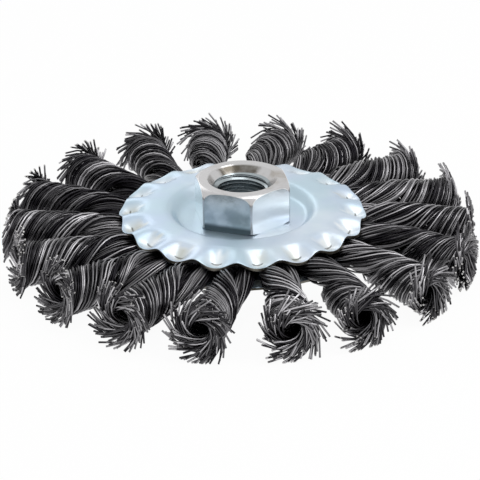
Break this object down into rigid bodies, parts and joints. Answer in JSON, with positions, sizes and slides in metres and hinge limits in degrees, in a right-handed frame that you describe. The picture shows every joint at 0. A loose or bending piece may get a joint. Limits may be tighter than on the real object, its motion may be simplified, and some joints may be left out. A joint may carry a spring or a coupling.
{
  "type": "wire wheel brush",
  "caption": "Flat wire wheel of twisted steel-wire knots with frayed ends, clamped between two crimped zinc-plated face plates and held by a threaded hexagon hub nut for an angle grinder",
  "frame": {"origin": "centre of the bounding box at its base: the point on the wheel's axis level with the lowest wires that the brush stands on", "axes": "+Z is the wheel's axis and points out of the hexagon nut's open face; the roots of the knots lie at every twentieth degree from +X"},
  "size_m": [0.1208, 0.119, 0.0203],
  "materials": {
    "zinc_sheet": "pale blue-silver zinc plating on pressed sheet steel, satin, with bright worn edges",
    "zinc_nut": "bright zinc plating on a machined steel hexagon nut",
    "spring_wire": "dark burnished spring-steel wire, half a millimetre thick, with bright cut ends",
    "ring_steel": "plain punched steel ring, hidden between the plates"
  },
  "bodies": {
    "root": {"top_face_plate": "zinc_sheet", "bottom_face_plate": "zinc_sheet", "wire_retaining_ring": "ring_steel", "hub_nut": "zinc_nut", "wire_knot_01": "spring_wire", "wire_knot_02": "spring_wire", "wire_knot_03": "spring_wire", "wire_knot_04": "spring_wire", "wire_knot_05": "spring_wire", "wire_knot_06": "spring_wire", "wire_knot_07": "spring_wire", "wire_knot_08": "spring_wire", "wire_knot_09": "spring_wire", "wire_knot_10": "spring_wire", "wire_knot_11": "spring_wire", "wire_knot_12": "spring_wire", "wire_knot_13": "spring_wire", "wire_knot_14": "spring_wire", "wire_knot_15": "spring_wire", "wire_knot_16": "spring_wire", "wire_knot_17": "spring_wire", "wire_knot_18": "spring_wire"}
  },
  "joints": []
}
